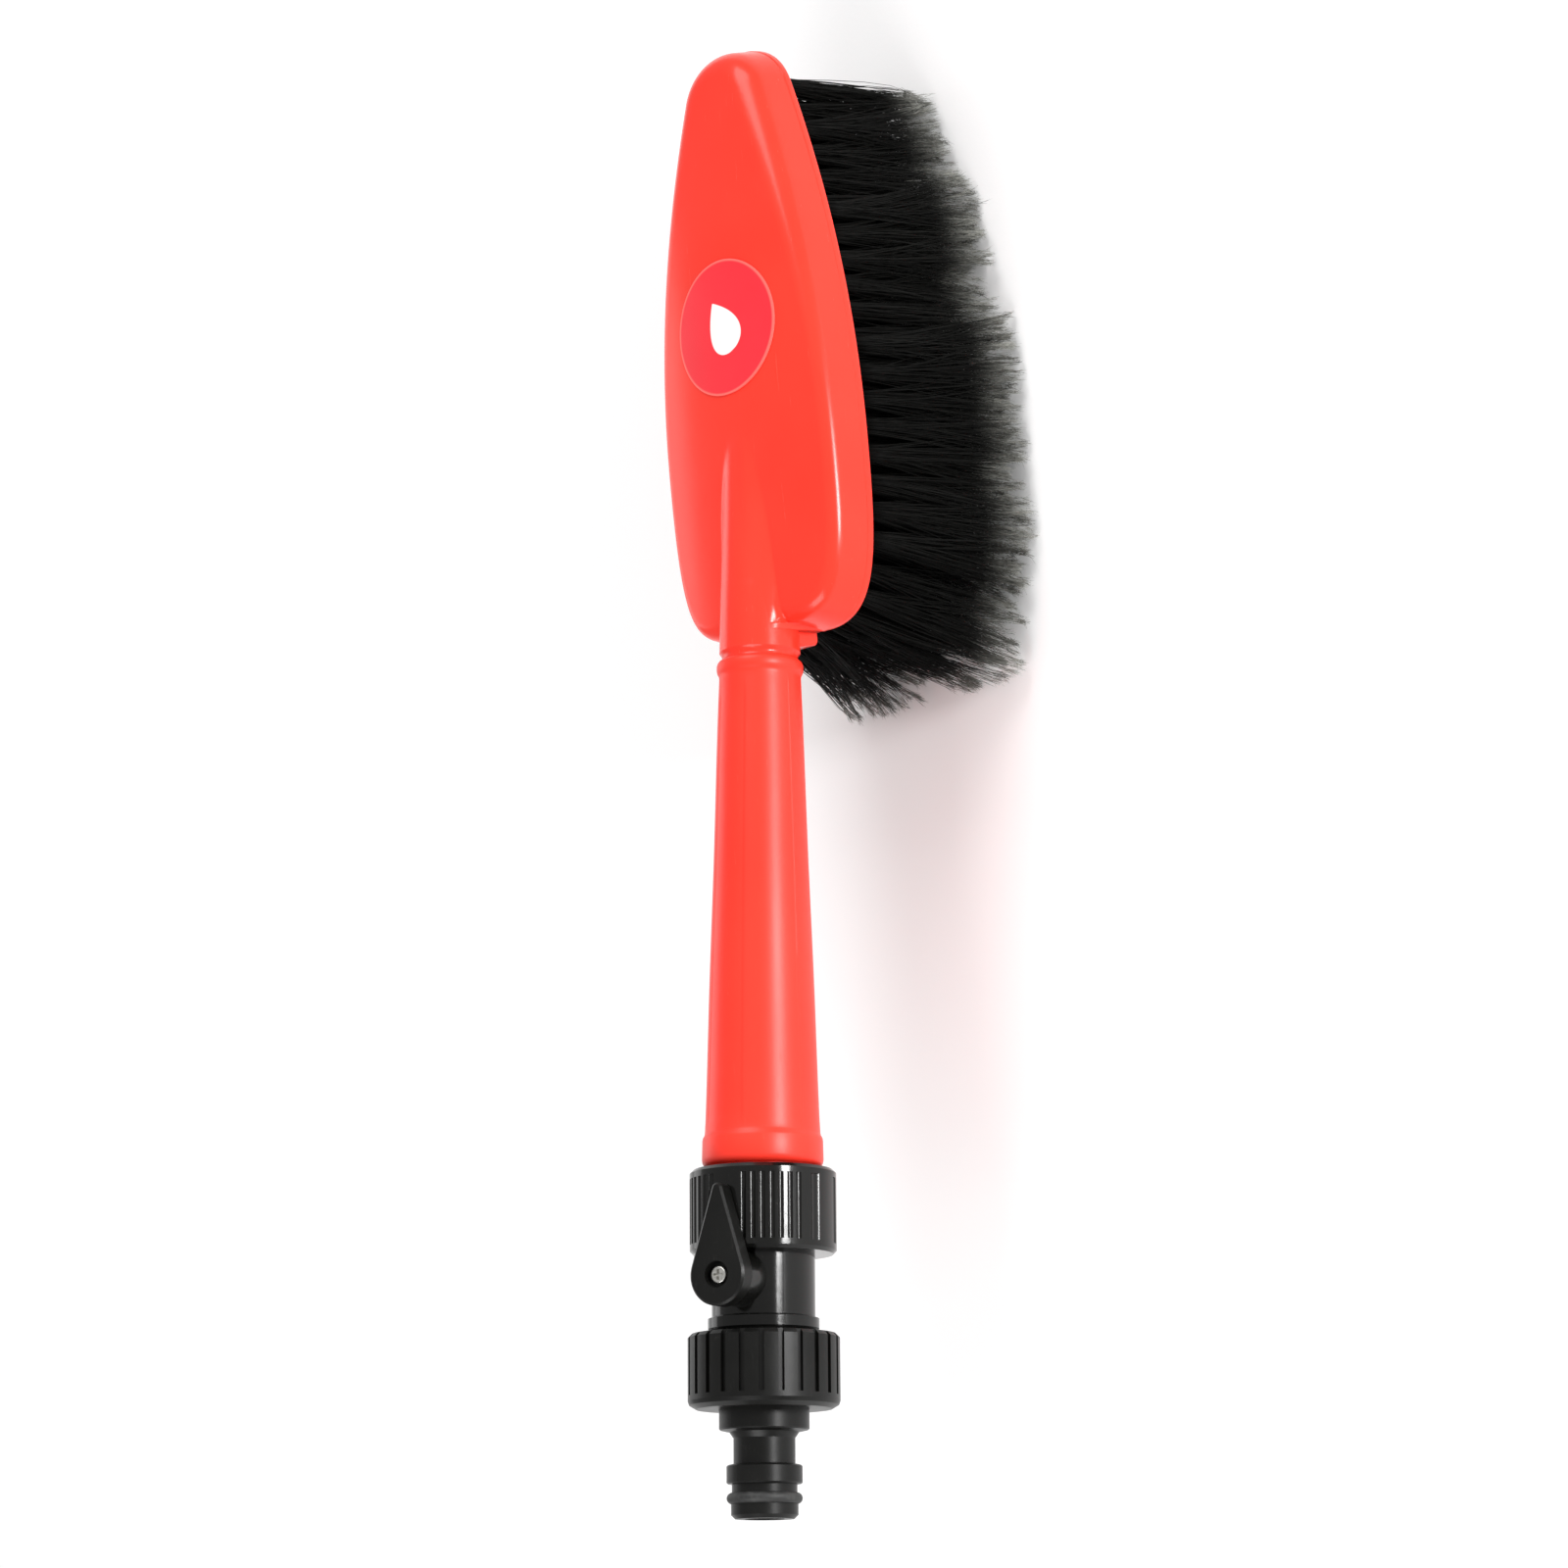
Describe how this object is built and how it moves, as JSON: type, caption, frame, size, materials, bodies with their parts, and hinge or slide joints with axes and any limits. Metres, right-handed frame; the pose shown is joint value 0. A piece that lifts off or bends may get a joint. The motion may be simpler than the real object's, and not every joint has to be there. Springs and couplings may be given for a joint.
{
  "type": "water-fed wash brush",
  "caption": "Hand-held water-fed wash brush: boat-shaped red head with soft black bristles, tapered hollow handle, ball valve with a teardrop lever and a click-fit hose nipple.",
  "frame": {"origin": "centre of the box in X and Y, at the plane of the bristle tips", "axes": "+X along the head from heel to tip, +Z from the bristles to the back of the head; the handle rises 6 degrees from the head towards -X"},
  "size_m": [0.3484, 0.0722, 0.0988],
  "materials": {
    "red_moulding": "satin",
    "black_moulding": "satin",
    "seal_rubber": "matte",
    "bristle": "satin",
    "label": "gloss",
    "white_plastic": "satin",
    "screw_steel": "satin"
  },
  "bodies": {
    "brush": {"head_shell": "red_moulding", "base_plate": "red_moulding", "badge": "label", "neck_seal": "seal_rubber", "handle_tube": "red_moulding", "bristle_row_1": "bristle", "bristle_row_2": "bristle", "bristle_row_3": "bristle", "bristle_row_4": "bristle", "bristle_row_5": "bristle", "bristle_row_6": "bristle", "bristle_row_7": "bristle", "bristle_row_8": "bristle", "bristle_row_9": "bristle"},
    "socket_seal": {"socket_washer": "seal_rubber"},
    "valve": {"valve_body": "black_moulding", "outlet_seat": "white_plastic", "inlet_seat": "white_plastic", "seat_retainer": "black_moulding"},
    "lever": {"lever": "black_moulding", "lever_screw": "screw_steel", "valve_stem": "white_plastic", "stem_seals": "seal_rubber", "valve_ball": "white_plastic"},
    "adaptor_seal": {"adaptor_washer": "seal_rubber"},
    "adaptor": {"hose_adaptor": "black_moulding", "nipple_o_ring": "seal_rubber"}
  },
  "joints": [
    {"name": "valve_travel", "type": "slide", "parent": "brush", "child": "socket_seal", "axis": [-0.9945, 0, 0.1045], "range_m": [0, 0.01452]},
    {"name": "valve_turn", "type": "hinge", "parent": "socket_seal", "child": "valve", "pos_m": [-0.1206, 0, 0.07659], "axis": [-0.9945, 0, 0.1045], "range_deg": [0, 2880]},
    {"name": "lever_turn", "type": "hinge", "parent": "valve", "child": "lever", "pos_m": [-0.1206, 0, 0.07659], "axis": [0.1, -0.2924, 0.9511], "range_deg": [0, 90]},
    {"name": "adaptor_travel", "type": "slide", "parent": "valve", "child": "adaptor_seal", "axis": [-0.9945, 0, 0.1045], "range_m": [0, 0.0128]},
    {"name": "adaptor_turn", "type": "hinge", "parent": "adaptor_seal", "child": "adaptor", "pos_m": [-0.1206, 0, 0.07659], "axis": [-0.9945, 0, 0.1045], "range_deg": [0, 2520]}
  ],
  "couplings": [
    {"joint": "valve_travel", "follows": "valve_turn", "m_per_rad": 0.00028871},
    {"joint": "adaptor_travel", "follows": "adaptor_turn", "m_per_rad": 0.00028871}
  ]
}
